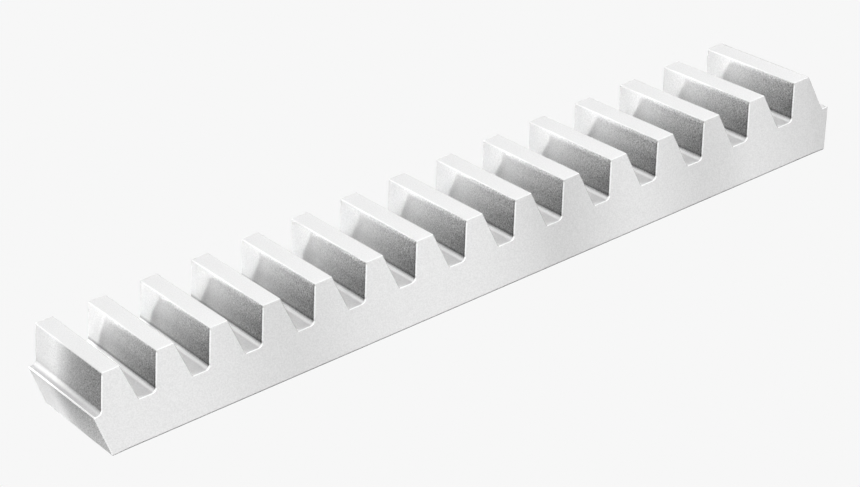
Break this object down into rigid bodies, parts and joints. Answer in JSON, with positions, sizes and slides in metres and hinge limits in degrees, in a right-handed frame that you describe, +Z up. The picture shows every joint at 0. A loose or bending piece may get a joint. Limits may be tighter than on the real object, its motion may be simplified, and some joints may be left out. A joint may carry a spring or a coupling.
{
  "type": "gear rack",
  "caption": "Straight gear rack in white moulded resin: fifteen full-depth spur teeth along the top of a solid base bar, with a flat underside and undercut ends.",
  "frame": {"origin": "middle of the flat underside, under the middle tooth", "axes": "+X along the rack in the direction the pinion rolls, +Y across the face width, +Z up through the teeth"},
  "size_m": [0.047, 0.0086, 0.0047],
  "materials": {
    "white_resin": "satin moulded acetal resin, white, with a very fine mould grain"
  },
  "bodies": {
    "root": {"gear_rack": "white_resin"}
  },
  "joints": []
}
